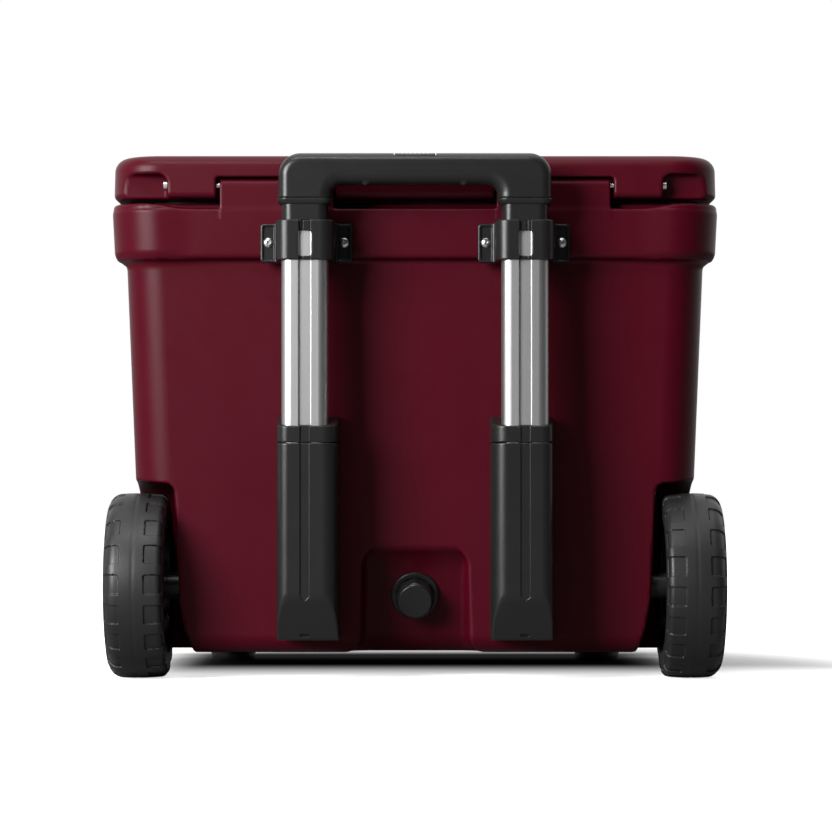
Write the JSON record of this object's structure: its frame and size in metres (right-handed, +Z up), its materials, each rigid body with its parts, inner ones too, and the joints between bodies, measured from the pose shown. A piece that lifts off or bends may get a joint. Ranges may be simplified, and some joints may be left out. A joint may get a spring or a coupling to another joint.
{
  "type": "cooler chest",
  "caption": "Insulated cooler chest on two rear wheels, with a hinged lid, a telescoping pull handle with release button, front latches and a drain plug.",
  "frame": {"origin": "on the floor under the middle of the overall box, with the handle pushed in and the lid shut", "axes": "+X along the width, +Y towards the front with the latches, -Y towards the back with the handle and wheels, +Z up"},
  "size_m": [0.588, 0.503, 0.5],
  "materials": {
    "tub_plastic": "smooth wine-red rotomoulded polyethylene with a soft gloss",
    "lid_plastic": "smooth wine-red rotomoulded polyethylene with a soft gloss",
    "foam": "pale closed-cell insulating foam",
    "gasket": "soft black sealing rubber",
    "black_plastic": "fine-grained black moulded plastic",
    "aluminium": "satin anodised aluminium",
    "steel": "plain stainless steel",
    "tyre": "dark moulded wheel tread",
    "brass": "machined brass insert"
  },
  "bodies": {
    "chest": {"tub_shell": "tub_plastic", "tub_foam": "foam", "drain_fitting": "black_plastic", "foot_left": "gasket", "foot_right": "gasket", "foot_screws": "steel", "axle_left": "steel", "axle_right": "steel", "axle_inserts": "brass", "axle_spacer_left": "black_plastic", "axle_spacer_right": "black_plastic", "outer_tube_left": "aluminium", "outer_tube_right": "aluminium", "tube_bush_left": "black_plastic", "tube_bush_right": "black_plastic", "bracket_left": "black_plastic", "bracket_right": "black_plastic", "bracket_screws": "steel", "bracket_inserts": "brass", "socket_left": "black_plastic", "socket_right": "black_plastic", "socket_collar_left": "black_plastic", "socket_collar_right": "black_plastic", "socket_screws": "steel", "hinge_pins": "steel", "catch_left": "black_plastic", "catch_right": "black_plastic", "catch_screws": "steel"},
    "lid": {"lid_shell": "lid_plastic", "lid_foam": "foam", "lid_gasket": "gasket", "latch_pins": "steel"},
    "latch_left": {"latch_left": "black_plastic"},
    "latch_right": {"latch_right": "black_plastic"},
    "handle_middle": {"middle_tube_left": "aluminium", "middle_tube_right": "aluminium", "middle_collar_left": "black_plastic", "middle_collar_right": "black_plastic"},
    "handle_grip": {"grip": "black_plastic", "inner_tube_left": "aluminium", "inner_tube_right": "aluminium", "grip_pins": "steel", "glide_left": "black_plastic", "glide_right": "black_plastic", "button_spring": "steel"},
    "button": {"grip_button": "black_plastic", "release_bar": "black_plastic", "release_rods": "steel"},
    "lock_pin_left": {"lock_pin_left": "steel"},
    "lock_pin_right": {"lock_pin_right": "steel"},
    "wheel_left": {"tyre_left": "tyre", "rim_left": "black_plastic", "wheel_bush_left": "black_plastic"},
    "wheel_right": {"tyre_right": "tyre", "rim_right": "black_plastic", "wheel_bush_right": "black_plastic"},
    "drain_seal": {"drain_seal": "gasket"},
    "drain_plug": {"drain_plug": "black_plastic"}
  },
  "joints": [
    {"name": "lid_hinge", "type": "hinge", "parent": "chest", "child": "lid", "pos_m": [0, -0.1915, 0.471], "axis": [1, 0, 0], "range_deg": [0, 90]},
    {"name": "handle_middle_slide", "type": "slide", "parent": "chest", "child": "handle_middle", "axis": [0, 0, 1], "range_m": [0, 0.276]},
    {"name": "handle_grip_slide", "type": "slide", "parent": "handle_middle", "child": "handle_grip", "axis": [0, 0, 1], "range_m": [0, 0.276]},
    {"name": "button_press", "type": "slide", "parent": "handle_grip", "child": "button", "axis": [0, 0, -1], "range_m": [0, 0.004], "stiffness_N_per_m": 1200, "springref_m": -0.002, "deforming": ["button_spring"]},
    {"name": "lock_pin_left_slide", "type": "slide", "parent": "handle_grip", "child": "lock_pin_left", "axis": [0, -1, 0], "range_m": [0, 0.0031]},
    {"name": "wheel_left_spin", "type": "hinge", "parent": "chest", "child": "wheel_left", "pos_m": [-0.265, -0.1545, 0.089], "axis": [1, 0, 0], "continuous": true},
    {"name": "latch_left_hinge", "type": "hinge", "parent": "lid", "child": "latch_left", "pos_m": [-0.13, 0.236, 0.48], "axis": [1, 0, 0], "range_deg": [0, 90]},
    {"name": "lock_pin_right_slide", "type": "slide", "parent": "handle_grip", "child": "lock_pin_right", "axis": [0, -1, 0], "range_m": [0, 0.0031]},
    {"name": "wheel_right_spin", "type": "hinge", "parent": "chest", "child": "wheel_right", "pos_m": [0.265, -0.1545, 0.089], "axis": [1, 0, 0], "continuous": true},
    {"name": "latch_right_hinge", "type": "hinge", "parent": "lid", "child": "latch_right", "pos_m": [0.13, 0.236, 0.48], "axis": [1, 0, 0], "range_deg": [0, 90]},
    {"name": "drain_seal_slide", "type": "slide", "parent": "chest", "child": "drain_seal", "axis": [0, -0.9732, -0.23], "range_m": [0, 0.009]},
    {"name": "drain_plug_turn", "type": "hinge", "parent": "drain_seal", "child": "drain_plug", "pos_m": [0, -0.155, 0.08], "axis": [0, -0.9732, -0.23], "range_deg": [0, 1081]}
  ],
  "couplings": [
    {"joint": "lock_pin_left_slide", "follows": "button_press", "ratio": 0.75},
    {"joint": "lock_pin_right_slide", "follows": "button_press", "ratio": 0.75},
    {"joint": "drain_plug_turn", "follows": "drain_seal_slide", "rad_per_m": 2094.4}
  ]
}
